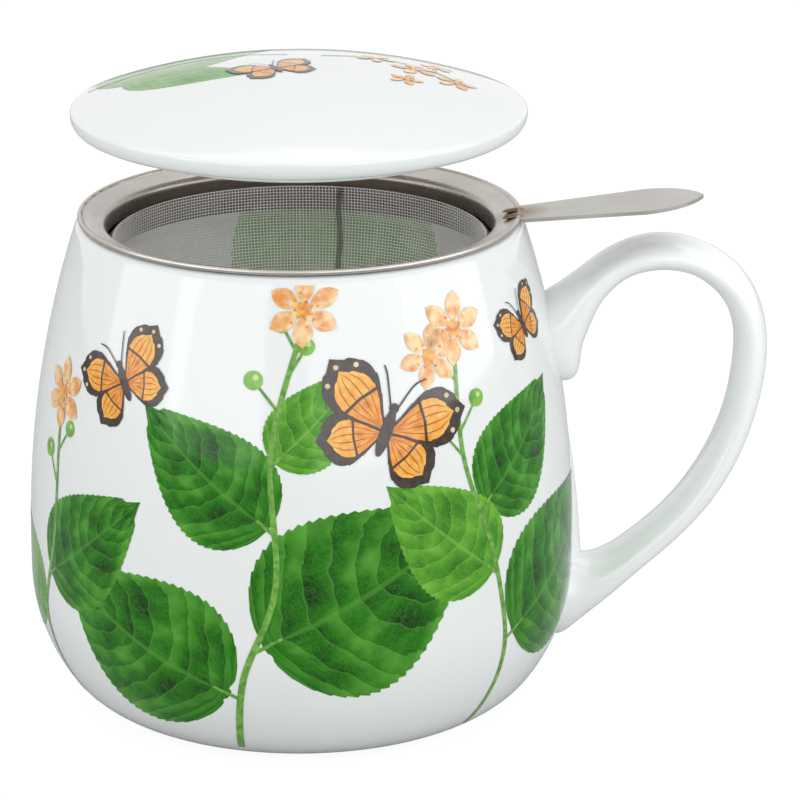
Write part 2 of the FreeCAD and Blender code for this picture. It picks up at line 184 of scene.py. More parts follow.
# Profiles of revolution
def arc_points(centre, radius, first, last, count):
    """Points of an arc about centre, angles in radians, both ends included."""
    angles = np.linspace(first, last, count)
    return [(centre[0] + radius * math.cos(a), centre[1] + radius * math.sin(a)) for a in angles]


BELLY_AXIS = BELLY_RADIUS - BELLY_CURVE
BASE_AXIS = BELLY_AXIS + math.sqrt(
    (BELLY_CURVE - BASE_CURVE) ** 2 - (BELLY_LOW - BASE_CURVE) ** 2)
LIP_RADIUS = MUG_WALL / 2
LIP_HEIGHT = RIM_HEIGHT - LIP_RADIUS
LEAN_IN = BELLY_RADIUS - MOUTH_RADIUS
LEAN_UP = LIP_HEIGHT - BELLY_HIGH
SHOULDER_CURVE = (LEAN_IN**2 + LEAN_UP**2 - LIP_RADIUS**2) / (2 * (LEAN_IN - LIP_RADIUS))
SHOULDER_AXIS = BELLY_RADIUS - SHOULDER_CURVE
LEAN = math.atan2(LEAN_UP, SHOULDER_CURVE - LEAN_IN)
BASE_TURN = math.atan2(BASE_CURVE - BELLY_LOW, BASE_AXIS - BELLY_AXIS)
INNER_CURVE = BELLY_CURVE - MUG_WALL
CORNER_RISE = BELLY_LOW - FLOOR_HEIGHT - FLOOR_CORNER
CORNER_AXIS = BELLY_AXIS + math.sqrt((INNER_CURVE - FLOOR_CORNER) ** 2 - CORNER_RISE**2)
CORNER_TURN = math.atan2(-CORNER_RISE, CORNER_AXIS - BELLY_AXIS)

OUTER_SIDE = (
    arc_points((BASE_AXIS, BASE_CURVE), BASE_CURVE, -math.pi / 2, BASE_TURN, 14)
    + arc_points((BELLY_AXIS, BELLY_LOW), BELLY_CURVE, BASE_TURN, 0, 16)[1:]
    + arc_points((SHOULDER_AXIS, BELLY_HIGH), SHOULDER_CURVE, 0, LEAN, 22)
)
INNER_SIDE = (
    arc_points((SHOULDER_AXIS, BELLY_HIGH), SHOULDER_CURVE - MUG_WALL, LEAN, 0, 20)
    + arc_points((BELLY_AXIS, BELLY_LOW), INNER_CURVE, 0, CORNER_TURN, 14)
    + arc_points((CORNER_AXIS, FLOOR_HEIGHT + FLOOR_CORNER), FLOOR_CORNER,
                 CORNER_TURN, -math.pi / 2, 10)[1:]
)
MUG_PROFILE = (
    [(0, FOOT_RECESS), (BASE_AXIS - FOOT_WIDTH - FOOT_RECESS, FOOT_RECESS),
     (BASE_AXIS - FOOT_WIDTH - FOOT_EDGE_IN, FOOT_EDGE_UP), (BASE_AXIS - FOOT_WIDTH, 0)]
    + OUTER_SIDE
    + arc_points((MOUTH_RADIUS, LIP_HEIGHT), LIP_RADIUS, LEAN, LEAN + math.pi, 12)[1:-1]
    + INNER_SIDE
    + [(0, FLOOR_HEIGHT)]
)

LID_CORNER = LID_HOVER + LID_EDGE
LID_ARM = LID_RADIUS - LID_SHOULDER
LID_CURVE = (LID_ARM**2 + LID_DOME**2 - LID_SHOULDER**2) / (2 * (LID_DOME - LID_SHOULDER))
LID_APEX = LID_CORNER + LID_DOME
LID_CENTRE = LID_APEX - LID_CURVE
LID_TURN = math.atan2(LID_CORNER - LID_CENTRE, LID_ARM)
PLUG_OUT = NECK_RADIUS - SHEET - PLUG_CLEARANCE
PLUG_IN = PLUG_OUT - PLUG_WALL
PLUG_LOW = LID_HOVER - PLUG_DEPTH
PLUG_TURN = math.acos(PLUG_IN / (LID_CURVE - LID_WALL))
LID_TOP = (
    arc_points((LID_ARM, LID_CORNER), LID_SHOULDER, 0, LID_TURN, 8)
    + arc_points((0, LID_CENTRE), LID_CURVE, LID_TURN, math.pi / 2, 26)[1:]
)
LID_PROFILE = (
    arc_points((0, LID_CENTRE), LID_CURVE - LID_WALL, math.pi / 2, PLUG_TURN, 16)
    + arc_points((PLUG_IN + PLUG_ROUND, PLUG_LOW + PLUG_ROUND), PLUG_ROUND,
                 math.pi, math.pi * 1.5, 8)
    + arc_points((PLUG_OUT - PLUG_ROUND, PLUG_LOW + PLUG_ROUND), PLUG_ROUND,
                 math.pi * 1.5, math.pi * 2, 8)
    + [(PLUG_OUT, LID_HOVER - PLUG_FILLET),
       (PLUG_OUT + FILLET_MIDDLE, LID_HOVER - FILLET_MIDDLE),
       (PLUG_OUT + PLUG_FILLET, LID_HOVER)]
    + arc_points((LID_RADIUS - LID_UNDER, LID_HOVER + LID_UNDER), LID_UNDER,
                 -math.pi / 2, 0, 10)
    + LID_TOP
)


# Mesh making
def make_mesh(name, points, faces, body, material, uvs=None):
    """A piece from points in millimetres, riding on a body."""
    mesh = bpy.data.meshes.new(name)
    coordinates = np.asarray(points, dtype=np.float64) * MM
    corners = np.fromiter((i for face in faces for i in face), dtype=np.int32)
    sizes = np.fromiter((len(face) for face in faces), dtype=np.int32)
    mesh.vertices.add(len(coordinates))
    mesh.vertices.foreach_set("co", coordinates.ravel())
    mesh.loops.add(len(corners))
    mesh.loops.foreach_set("vertex_index", corners)
    mesh.polygons.add(len(sizes))
    starts = np.concatenate([[0], np.cumsum(sizes)[:-1]]).astype(np.int32)
    mesh.polygons.foreach_set("loop_start", starts)
    mesh.polygons.foreach_set("use_smooth", np.ones(len(sizes), dtype=bool))
    if uvs is not None:
        layer = mesh.uv_layers.new(name="UVMap")
        layer.data.foreach_set("uv", np.asarray(uvs, dtype=np.float64)[corners].ravel())
    mesh.update(calc_edges=True)
    mesh.validate()
    piece = bpy.data.objects.new(name, mesh)
    bpy.context.scene.collection.objects.link(piece)
    mesh.materials.append(material)
    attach(piece, body)
    return piece


def revolve(profile, steps):
    """Points and faces of a closed surface of revolution; both ends lie on the axis."""
    points = [(0, 0, profile[0][1])]
    rings = profile[1:-1]
    for r, z in rings:
        for step in range(steps):
            angle = 2 * math.pi * step / steps
            points.append((r * math.cos(angle), r * math.sin(angle), z))
    points.append((0, 0, profile[-1][1]))
    last = len(points) - 1
    faces = []
    for step in range(steps):
        after = (step + 1) % steps
        faces.append((0, 1 + after, 1 + step))
        for ring in range(len(rings) - 1):
            base = 1 + ring * steps
            over = base + steps
            faces.append((base + step, base + after, over + after, over + step))
        top = 1 + (len(rings) - 1) * steps
        faces.append((top + step, top + after, last))
    return points, faces


# Materials
def new_material(name):
    material = bpy.data.materials.new(name)
    material.use_nodes = True
    nodes, links = material.node_tree.nodes, material.node_tree.links
    return material, nodes, links, nodes["Principled BSDF"]


def shade(value):
    return (value, value, value, 1)


def add_noise(nodes, links, scale, detail=3.0, coordinate="Object", stretch=(1, 1, 1)):
    place = nodes.new("ShaderNodeTexCoord")
    mapping = nodes.new("ShaderNodeMapping")
    mapping.inputs["Scale"].default_value = stretch
    noise = nodes.new("ShaderNodeTexNoise")
    noise.inputs["Scale"].default_value = scale
    noise.inputs["Detail"].default_value = detail
    links.new(place.outputs[coordinate], mapping.inputs["Vector"])
    links.new(mapping.outputs["Vector"], noise.inputs["Vector"])
    return noise.outputs["Fac"]


def add_ramp(nodes, links, source, stops):
    """A colour for each value of source, from stops of (position, colour)."""
    ramp = nodes.new("ShaderNodeValToRGB")
    elements = ramp.color_ramp.elements
    while len(elements) < len(stops):
        elements.new(0.5)
    for element, (position, colour) in zip(elements, stops):
        element.position = position
        element.color = colour
    links.new(source, ramp.inputs["Fac"])
    return ramp.outputs["Color"]


def add_math(nodes, links, operation, first, second=None):
    node = nodes.new("ShaderNodeMath")
    node.operation = operation
    for socket, source in zip(node.inputs, (first, second)):
        if source is None:
            continue
        if isinstance(source, (int, float)):
            socket.default_value = source
        else:
            links.new(source, socket)
    return node.outputs[0]


def add_bump(nodes, links, shader, height, strength, distance):
    bump = nodes.new("ShaderNodeBump")
    bump.inputs["Strength"].default_value = strength
    bump.inputs["Distance"].default_value = distance
    links.new(height, bump.inputs["Height"])
    links.new(bump.outputs["Normal"], shader.inputs["Normal"])


def split_place(nodes, links, coordinate):
    """The three parts of a texture coordinate."""
    place = nodes.new("ShaderNodeTexCoord")
    split = nodes.new("ShaderNodeSeparateXYZ")
    links.new(place.outputs[coordinate], split.inputs["Vector"])
    return split.outputs


def mix_colours(nodes, links, share, first, second):
    """The colour first where share is 0, the fixed colour second where it is 1."""
    mix = nodes.new("ShaderNodeMix")
    mix.data_type = "RGBA"
    links.new(share, mix.inputs["Factor"])
    links.new(first, mix.inputs["A"])
    mix.inputs["B"].default_value = second
    return mix.outputs["Result"]


def glaze_gloss(nodes, links, shader):
    """The gloss that the glaze gives the bare porcelain and the print alike."""
    shader.inputs["IOR"].default_value = GLAZE_IOR
    shader.inputs["Coat Weight"].default_value = COAT_WEIGHT
    shader.inputs["Coat Roughness"].default_value = COAT_ROUGHNESS
    ripple = add_noise(nodes, links, RIPPLE_SCALE, 2.0)
    gloss = add_ramp(nodes, links, ripple, [(0.3, shade(0.07)), (0.7, shade(0.12))])
    links.new(gloss, shader.inputs["Roughness"])
    add_bump(nodes, links, shader, ripple, RIPPLE_STRENGTH, RIPPLE_HEIGHT)


def porcelain(name, glaze):
    material, nodes, links, shader = new_material(name)
    cloud = add_noise(nodes, links, GLAZE_CLOUD_SCALE)
    dull = (glaze[0] * 0.985, glaze[1] * 0.985, glaze[2] * 0.99, 1)
    tone = add_ramp(nodes, links, cloud, [(0.35, dull), (0.65, glaze)])
    links.new(tone, shader.inputs["Base Color"])
    glaze_gloss(nodes, links, shader)
    return material


def leaf_material(name, tones, ribs=9.0):
    """A leaf whose UV runs along its midrib in U and across it in V."""
    dark, mid, light, vein = tones
    material, nodes, links, shader = new_material(name)
    calc, ramp = partial(add_math, nodes, links), partial(add_ramp, nodes, links)
    u, v, _ = split_place(nodes, links, "UV")
    drift = add_noise(nodes, links, VEIN_DRIFT_SCALE, 2, "UV")
    along = calc("ADD", u, calc("MULTIPLY", drift, VEIN_DRIFT))
    side = calc("MULTIPLY", calc("ABSOLUTE", calc("SUBTRACT", v, 0.5)), 2.0)
    bend = calc("MULTIPLY", calc("POWER", side, VEIN_CURVE), VEIN_BEND)
    saw = calc("FRACT", calc("MULTIPLY", calc("SUBTRACT", along, bend), ribs))
    gap = calc("ABSOLUTE", calc("SUBTRACT", saw, 0.5))
    # A fine net of veins between the ribs
    place = nodes.new("ShaderNodeTexCoord")
    net = nodes.new("ShaderNodeTexVoronoi")
    net.feature = "DISTANCE_TO_EDGE"
    net.inputs["Scale"].default_value = NET_SCALE
    links.new(place.outputs["UV"], net.inputs["Vector"])
    fine = ramp(net.outputs["Distance"], [(0.0, shade(1)), (NET_WIDTH, shade(0))])
    # Each field between two ribs is darker by its lower rib, and clouds lie over all
    blotch = add_noise(nodes, links, LEAF_CLOUD_SCALE, 6, "UV")
    field = calc("ADD", calc("MULTIPLY", saw, RIB_SHADE), calc("MULTIPLY", blotch, CLOUD_SHADE))
    edge = calc("MULTIPLY", calc("POWER", side, 3.0), EDGE_SHADE)
    field = calc("SUBTRACT", calc("ADD", field, edge), SHADE_OFFSET)
    tone = ramp(field, [(0.15, dark), (0.5, mid), (0.95, light)])
    rib_line = ramp(gap, [(0.455, shade(0)), (0.488, shade(1))])
    mid_line = ramp(side, [(0.015, shade(1)), (0.045, shade(0))])
    lines = calc("MULTIPLY", calc("MAXIMUM", rib_line, mid_line), VEIN_WEIGHT)
    lines = calc("MAXIMUM", lines, calc("MULTIPLY", fine, NET_WEIGHT))
    links.new(mix_colours(nodes, links, lines, tone, vein), shader.inputs["Base Color"])
    glaze_gloss(nodes, links, shader)
    shader.inputs["Specular IOR Level"].default_value = LEAF_SPECULAR
    return material


def print_material(name, stops, scale=900):
    """A flat printed colour with the soft grain of a transfer print."""
    material, nodes, links, shader = new_material(name)
    grain = add_noise(nodes, links, scale)
    links.new(add_ramp(nodes, links, grain, stops), shader.inputs["Base Color"])
    glaze_gloss(nodes, links, shader)
    return material


def wing_material(name):
    """Orange cells between dark wing veins that run out from the wing's root."""
    material, nodes, links, shader = new_material(name)
    calc, ramp = partial(add_math, nodes, links), partial(add_ramp, nodes, links)
    along, across, _ = split_place(nodes, links, "UV")
    cell = calc("FRACT", calc("MULTIPLY", across, WING_CELLS))
    gap = calc("ABSOLUTE", calc("SUBTRACT", cell, 0.5))
    vein = ramp(gap, [(0.43, shade(0)), (0.47, shade(1))])
    bar = calc("ABSOLUTE", calc("SUBTRACT", along, WING_BAR))
    bar = ramp(bar, [(0.012, shade(1)), (0.03, shade(0))])
    lines = calc("MAXIMUM", vein, bar)
    cloud = add_noise(nodes, links, WING_CLOUD_SCALE, 4, "UV")
    fade = calc("ADD", cloud, calc("MULTIPLY", along, WING_FADE))
    tone = ramp(fade, [(0.35, WING_RUST), (0.62, WING_ORANGE), (0.9, WING_YELLOW)])
    links.new(mix_colours(nodes, links, lines, tone, WING_BLACK), shader.inputs["Base Color"])
    glaze_gloss(nodes, links, shader)
    return material


def round_streaks(nodes, links, scale):
    """Noise whose streaks run round the axis, as turned and pressed sheet shows them."""
    calc = partial(add_math, nodes, links)
    x, y, z = split_place(nodes, links, "Object")
    radius = calc("SQRT", calc("ADD", calc("MULTIPLY", x, x), calc("MULTIPLY", y, y)))
    turn = calc("MULTIPLY", calc("ARCTAN2", y, x), STREAK_TURN)
    merge = nodes.new("ShaderNodeCombineXYZ")
    for socket, source in zip(merge.inputs, (radius, turn, z)):
        links.new(source, socket)
    noise = nodes.new("ShaderNodeTexNoise")
    noise.inputs["Scale"].default_value = scale
    noise.inputs["Detail"].default_value = 4
    links.new(merge.outputs["Vector"], noise.inputs["Vector"])
    return noise.outputs["Fac"]


def heat_tint(nodes, links, colour):
    """Browns a colour near the weld."""
    place = nodes.new("ShaderNodeTexCoord")
    apart = nodes.new("ShaderNodeVectorMath")
    apart.operation = "DISTANCE"
    apart.inputs[1].default_value = WELD_PLACE
    links.new(place.outputs["Object"], apart.inputs[0])
    near = add_math(nodes, links, "DIVIDE", apart.outputs["Value"], HEAT_REACH)
    share = add_ramp(nodes, links, near, [(0.25, shade(0.75)), (1.0, shade(0))])
    return mix_colours(nodes, links, share, colour, HEAT_BROWN)


def dark_neck(nodes, links, colour):
    """Darkens all that lies below the flange, where the neck stands in the lid's shade."""
    height = split_place(nodes, links, "Object")[2]
    rise = add_math(nodes, links, "SUBTRACT", height, FLANGE_LOW)
    rise = add_math(nodes, links, "DIVIDE", rise, FLANGE_RISE)
    share = add_ramp(nodes, links, rise, [(0.0, shade(1)), (1.0, shade(0))])
    return mix_colours(nodes, links, share, colour, NECK_BROWN)


def steel(name, colour, roughness, grain=1.0, tint=None, turned=False, metal=1.0):
    """Satin stainless steel: fine streaks in roughness and bump, faint stains in colour."""
    material, nodes, links, shader = new_material(name)
    shader.inputs["Metallic"].default_value = metal
    if turned:
        streaks = round_streaks(nodes, links, 900)
    else:
        streaks = add_noise(nodes, links, 500, 4.0, stretch=(0.12, 1, 1))
    stain = add_noise(nodes, links, 60, 4.0)
    dull = tuple(part * 0.86 for part in colour[:3]) + (1,)
    tone = add_ramp(nodes, links, stain, [(0.3, tint or dull), (0.62, colour)])
    tone = heat_tint(nodes, links, tone)
    if turned:
        tone = dark_neck(nodes, links, tone)
    links.new(tone, shader.inputs["Base Color"])
    gloss = add_ramp(nodes, links, streaks, [
        (0.3, shade(roughness * 0.8)), (0.7, shade(roughness * 1.25))])
    links.new(gloss, shader.inputs["Roughness"])
    add_bump(nodes, links, shader, streaks, STREAK_STRENGTH * grain, STREAK_HEIGHT)
    return material


PORCELAIN = porcelain("glazed_porcelain", GLAZE)
# The lighter copy of the porcelain, painted light for the handle
HANDLE_LIT_PORCELAIN = porcelain("handle_porcelain_painted_light", HANDLE_LIT_GLAZE)
LEAF_GREEN = leaf_material("print_leaf", GREEN_TONES)
LEAF_FRESH = leaf_material("print_leaf_fresh", FRESH_TONES, 8.0)
LEAF_INSIDE = leaf_material("print_leaf_inside", INSIDE_TONES)
LEAF_SOFT = leaf_material("print_leaf_soft", SOFT_TONES)
STEM = print_material("print_stem", [(0.35, STEM_DARK), (0.65, STEM_LIGHT)])
BERRY = print_material("print_berry", [(0.35, BERRY_DARK), (0.6, BERRY_GREEN)], 400)
BERRY_TIP = print_material("print_berry_light", [(0.35, TIP_DARK), (0.6, TIP_LIGHT)], 400)
PETAL = print_material("print_petal", [(0.35, PETAL_ORANGE), (0.62, PETAL_CREAM)], 500)
STAMEN = print_material("print_stamen", [(0.35, STAMEN_RUST), (0.6, STAMEN_YELLOW)])
WING = wing_material("print_wing")
WING_EDGE = print_material("print_wing_edge", [(0.35, WING_BLACK), (0.7, WING_BROWN)])
WING_SPOT = print_material("print_wing_spot", [(0.35, SPOT_DULL), (0.65, WING_CREAM)])
STEEL_SHEET = steel("satin_steel", SHEET_GREY, 0.27, turned=True)
STEEL_TAB = steel("satin_steel_tab", TAB_GREY, 0.33)
STEEL_WIRE = steel("steel_wire", WIRE_GREY, 0.36, metal=0.5)
# A darker copy of the wire steel: painted shade for the lapped seam
STEEL_LAP_SHADED = steel("steel_lap_painted_shade", LAP_SHADE_GREY, 0.4, metal=0.5)
STEEL_WELD = steel("heat_tinted_weld", WELD_BROWN, 0.42, 2.0, WELD_DARK)


def dress(node, material):
    """Gives a carried-over node a better material."""
    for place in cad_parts[node].material_slots:
        place.material = material


for node in ("infuser_rim", "infuser_clamp_ring", "infuser_base_ring"):
    dress(node, STEEL_SHEET)
dress("infuser_tab", STEEL_TAB)
dress("infuser_tab_welds", STEEL_WELD)
# The handle wears the lighter copy of the porcelain: painted light, the same glaze as the body
dress("mug_handle", HANDLE_LIT_PORCELAIN)

# Mug body and lid, turned finely enough for the print to lie on them
ROUND_STEPS = 288

mug_points, mug_faces = revolve(MUG_PROFILE, ROUND_STEPS)
mug = make_mesh("mug_porcelain", mug_points, mug_faces, "mug", PORCELAIN)
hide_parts("mug_body")
lid_points, lid_faces = revolve(LID_PROFILE, ROUND_STEPS)
lid = make_mesh("lid_porcelain", lid_points, lid_faces, "lid", PORCELAIN)
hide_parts("lid")


# Woven wire: half a wire's width, the mesh pitch and how far the weave sways
WIRE = 0.09
PITCH = 0.56
WEAVE = 0.075
FLOOR_MARGIN = 0.2
FEWEST_STATIONS = 3
BASKET_IN = BASKET_RADIUS - SHEET
BASKET_OUT = NECK_RADIUS - SHEET
WALL_LOW = BASKET_LOW + SHEET + MESH_THICK

# The cloth folds over the clamp ring and lines it up to the flange
LINING = BASKET_OUT - MESH_THICK - SHEET - 0.3
LINING_LOW = WALL_TURN - 1.8
LINING_TOP = 87.3
FOLD_HEIGHT = 1.6

# The lapped seam: azimuth in degrees, wires, their spacing, wave and inset
SEAM_AZIMUTH = 76.5
SEAM_WIRES = 4
SEAM_PITCH = 0.3
SEAM_WAVE = 0.12
SEAM_TURN = 0.35
SEAM_INSET = 0.28


def wire_strip(path, up, radius):
    """A wire of square section along path; up is the normal of the cloth at each point."""
    path = np.asarray(path)
    up = np.asarray(up)
    along = np.gradient(path, axis=0)
    along /= np.linalg.norm(along, axis=1)[:, None]
    side = np.cross(along, up)
    side /= np.linalg.norm(side, axis=1)[:, None]
    ring = [path + up * radius, path + side * radius, path - up * radius, path - side * radius]
    return np.stack(ring, axis=1)


def join_strips(strips, closed):
    """Points and faces of many wires; each strip is an array of (stations, 4, 3)."""
    points, faces, base = [], [], 0
    for strip in strips:
        count = len(strip)
        points.append(strip.reshape(-1, 3))
        first = np.arange(count if closed else count - 1)
        second = (first + 1) % count
        for corner in range(4):
            after = (corner + 1) % 4
            faces.append(np.stack([
                base + first * 4 + corner, base + first * 4 + after,
                base + second * 4 + after, base + second * 4 + corner], axis=1))
        if not closed:
            faces.append(np.array([[base + 3, base + 2, base + 1, base],
                                   [base + 4 * count - 4, base + 4 * count - 3,
                                    base + 4 * count - 2, base + 4 * count - 1]]))
        base += count * 4
    return np.concatenate(points), np.concatenate(faces).tolist()


def basket_radius(z):
    """Middle of the woven wall at a height."""
    share = min(max((z - WALL_LOW) / (WALL_TURN - WALL_LOW), 0), 1)
    wall = BASKET_IN + (BASKET_OUT - BASKET_IN) * share - MESH_THICK / 2
    fold = min(max((z - LINING_LOW) / FOLD_HEIGHT, 0), 1)
    return wall + (LINING - wall) * fold * fold * (3 - 2 * fold)


def wall_point(angle, z, lift):
    r = basket_radius(z) + lift
    return (r * math.cos(angle), r * math.sin(angle), z)


def woven_wall():
    """Uprights and hoops of the wall, each in two halves."""
    upright = 2 * round(math.pi * (BASKET_IN + BASKET_OUT) / PITCH / 2)
    levels = np.arange(WALL_LOW, LINING_TOP, PITCH)
    angles = 2 * math.pi * np.arange(upright) / upright
    slope = (BASKET_OUT - BASKET_IN) / (WALL_TURN - WALL_LOW)
    strips = []
    for number, angle in enumerate(angles):
        path, up = [], []
        for level, z in enumerate(levels):
            lift = WEAVE if (number + level) % 2 else -WEAVE
            path.append(wall_point(angle, z, lift))
            up.append((math.cos(angle), math.sin(angle), -slope))
        strips.append(wire_strip(path, up, WIRE))
    half = len(strips) // 2
    for label, part in (("a", strips[:half]), ("b", strips[half:])):
        points, faces = join_strips(part, closed=False)
        piece = make_mesh(
            "wall_warp_" + label, points, faces, "infuser", STEEL_WIRE)
        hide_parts("infuser_mesh_wall")
    hoops = []
    for level, z in enumerate(levels):
        path, up = [], []
        for number, angle in enumerate(angles):
            lift = -WEAVE if (number + level) % 2 else WEAVE
            path.append(wall_point(angle, z, lift))
            up.append((math.cos(angle), math.sin(angle), 0))
        hoops.append(wire_strip(path, up, WIRE))
    half = len(hoops) // 2
    for label, part in (("a", hoops[:half]), ("b", hoops[half:])):
        points, faces = join_strips(part, closed=True)
        piece = make_mesh(
            "wall_weft_" + label, points, faces, "infuser", STEEL_WIRE)
        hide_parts("infuser_mesh_wall")


def woven_floor():
    """Two layers of straight wires, one along X and one along Y."""
    reach = BASKET_IN - FLOOR_MARGIN
    lines = np.arange(-reach + PITCH / 2, reach, PITCH)
    height = BASKET_LOW + SHEET + MESH_THICK / 2
    for turn in (0, 1):
        strips = []
        for number, offset in enumerate(lines):
            run = math.sqrt(max(reach**2 - offset**2, 0))
            stations = [s for s in lines if abs(s) < run]
            if len(stations) < FEWEST_STATIONS:
                continue
            path = []
            for station in stations:
                level = int(round((station - lines[0]) / PITCH))
                lift = WEAVE if (number + level + turn) % 2 else -WEAVE
                place = (station, offset) if turn == 0 else (offset, station)
                path.append((place[0], place[1], height + lift))
            strips.append(wire_strip(path, [(0, 0, 1)] * len(path), WIRE))
        points, faces = join_strips(strips, closed=False)
        piece = make_mesh(
            f"floor_wires_{turn}", points, faces, "infuser", STEEL_WIRE)
        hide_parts("infuser_mesh_floor")


def woven_seam():
    """The lapped seam at the back: close uprights, a little inside the wall, painted darker than
    the wall's wires for the shade in the overlap.
    """
    strips = []
    heights = np.arange(WALL_LOW, LINING_TOP, PITCH)
    for number in range(SEAM_WIRES):
        path, up = [], []
        for level, z in enumerate(heights):
            along = number * SEAM_PITCH + SEAM_WAVE * math.sin(level * SEAM_TURN)
            angle = math.radians(SEAM_AZIMUTH) + along / BASKET_OUT
            lift = -SEAM_INSET + (WEAVE if (number + level) % 2 else -WEAVE)
            path.append(wall_point(angle, z, lift))
            up.append((math.cos(angle), math.sin(angle), 0))
        strips.append(wire_strip(path, up, WIRE))
    points, faces = join_strips(strips, closed=False)
    # The seam wires take the darker steel, painted shade of the overlap
    piece = make_mesh("wall_seam", points, faces, "infuser", STEEL_LAP_SHADED)
    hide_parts("infuser_mesh_wall")


woven_wall()
woven_seam()
woven_floor()


# Surfaces that carry the print: each maps motif millimetres to a point on the glaze
class MugOutside:
    """Origin at an azimuth in degrees and a height; x runs right seen from outside, y up."""
    body = "mug"

    def __init__(self, azimuth, height, side=OUTER_SIDE, sign=1):
        self.azimuth = math.radians(azimuth)
        self.sign = sign
        line = np.array(side if side[0][1] < side[-1][1] else side[::-1])
        step = np.hypot(*np.diff(line, axis=0).T)
        keep = np.concatenate([[True], step > 1e-6])
        self.line = line[keep]
        self.length = np.concatenate([[0], np.cumsum(step[step > 1e-6])])
        self.start = np.interp(height, self.line[:, 1], self.length)

    def place(self, x, y, layer=1):
        s = np.clip(self.start + y, LOWEST_PRINT, self.length[-1])
        r = np.interp(s, self.length, self.line[:, 0])
        z = np.interp(s, self.length, self.line[:, 1])
        ahead = min(s + TANGENT_STEP, self.length[-1])
        behind = ahead - 2 * TANGENT_STEP
        dr = np.interp(ahead, self.length, self.line[:, 0]) - np.interp(
            behind, self.length, self.line[:, 0])
        dz = np.interp(ahead, self.length, self.line[:, 1]) - np.interp(
            behind, self.length, self.line[:, 1])
        norm = math.hypot(dr, dz)
        lift = PRINT_LIFT * layer * self.sign
        angle = self.azimuth + self.sign * x / r
        out = r + lift * dz / norm
        return (out * math.cos(angle), out * math.sin(angle), z - lift * dr / norm)


class MugInside(MugOutside):
    """The same on the inner side, seen from inside."""

    def __init__(self, azimuth, height):
        super().__init__(azimuth, height, INNER_SIDE, -1)


class LidTop:
    """Origin at a point of the dome seen from above, in millimetres from the axis."""
    body = "lid"
    sign = 1

    def __init__(self, x, y):
        self.x, self.y = x, y
        self.line = np.array(LID_TOP[::-1])

    def place(self, x, y, layer=1):
        px, py = self.x + x, self.y + y
        r = math.hypot(px, py)
        limit = LID_RADIUS - PRINT_MARGIN
        if r > limit:
            px, py, r = px * limit / r, py * limit / r, limit
        z = np.interp(r, self.line[:, 0], self.line[:, 1])
        lift = PRINT_LIFT * layer
        tilt = min(r / LID_CURVE, 1)
        share = lift * tilt / max(r, 1e-6)
        return (px * (1 + share), py * (1 + share), z + lift * math.sqrt(1 - tilt**2))


# Motifs
motif_count = {}


def numbered(kind):
    motif_count[kind] = motif_count.get(kind, 0) + 1
    return f"{kind}_{motif_count[kind]:02d}"


def sheet_of_points(surface, kind, grid, uv, material, layer):
    """A piece from a grid of motif points, rows by columns."""
    rows, columns = len(grid), len(grid[0])
    points = [surface.place(x, y, layer) for row in grid for x, y in row]
    uvs = [pair for row in uv for pair in row]
    faces = []
    for row in range(rows - 1):
        for column in range(columns - 1):
            corner = row * columns + column
            face = (corner, corner + 1, corner + columns + 1, corner + columns)
            faces.append(face if surface.sign > 0 else face[::-1])
    return make_mesh(numbered(kind), points, faces, surface.body, material, uvs=uvs)


def turn_point(x, y, angle):
    c, s = math.cos(math.radians(angle)), math.sin(math.radians(angle))
    return x * c - y * s, x * s + y * c


def leaf(surface, x, y, angle, length, width, material=None, curl=0.12, teeth=24, layer=None,
         blunt=0.62):
    """An ovate leaf from its stalk end; angle 0 points up, positive turns left."""
    rows, columns = 97, 17
    if layer is None:
        layer = LEAF_LAYER + LEAF_LAYER_STEP * (motif_count.get("leaf", 0) % LEAF_LAYERS)
    grid, uv = [], []
    for row in range(rows):
        u = row / (rows - 1)
        swell = math.sin(math.pi * u**blunt) ** 0.85 if 0 < u < 1 else 0
        tip = (1 - u) ** 0.25 if u > 0.9 else 1
        saw = (u * teeth) % 1
        half = width / 2 * swell * min(tip * 1.35, 1) * (1 + 0.045 * (saw - 0.5))
        line, line_uv = [], []
        for column in range(columns):
            v = column / (columns - 1)
            across = (v - 0.5) * 2 * half
            lift = 0.06 * length * abs(v - 0.5) * 2 * (1 - u)
            bow = curl * length * (u - u * u)
            px, py = turn_point(across + bow, u * length - lift, angle)
            line.append((x + px, y + py))
            line_uv.append((u, v))
        grid.append(line)
        uv.append(line_uv)
    return sheet_of_points(surface, "leaf", grid, uv, material or LEAF_GREEN, layer)


def curve_points(points, count):
    """A smooth line through control points, as a Catmull-Rom curve."""
    p = np.array([points[0], *points, points[-1]], dtype=float)
    result = []
    spans = len(points) - 1
    for number in range(count):
        t = number / (count - 1) * spans
        span = min(int(t), spans - 1)
        f = t - span
        a, b, c, d = p[span:span + 4]
        result.append(0.5 * (2 * b + (c - a) * f + (2 * a - 5 * b + 4 * c - d) * f**2
                             + (3 * b - 3 * c + d - a) * f**3))
    return result


def stem(surface, points, width, end_width=None, layer=STEM_LAYER, material=None):
    """A printed stalk along control points."""
    count = 14 * (len(points) - 1)
    line = curve_points(points, count)
    grid, uv = [], []
    end_width = width * 0.7 if end_width is None else end_width
    for number, place in enumerate(line):
        u = number / (count - 1)
        ahead = line[min(number + 1, count - 1)] - line[max(number - 1, 0)]
        ahead /= np.linalg.norm(ahead)
        half = (width * (1 - u) + end_width * u) / 2
        row = []
        for column in range(4):
            v = column / 3
            side = (v - 0.5) * 2 * half
            row.append((place[0] + ahead[1] * side, place[1] - ahead[0] * side))
        grid.append(row)
        uv.append([(u, column / 3) for column in range(4)])
    return sheet_of_points(surface, "stem", grid, uv, material or STEM, layer)


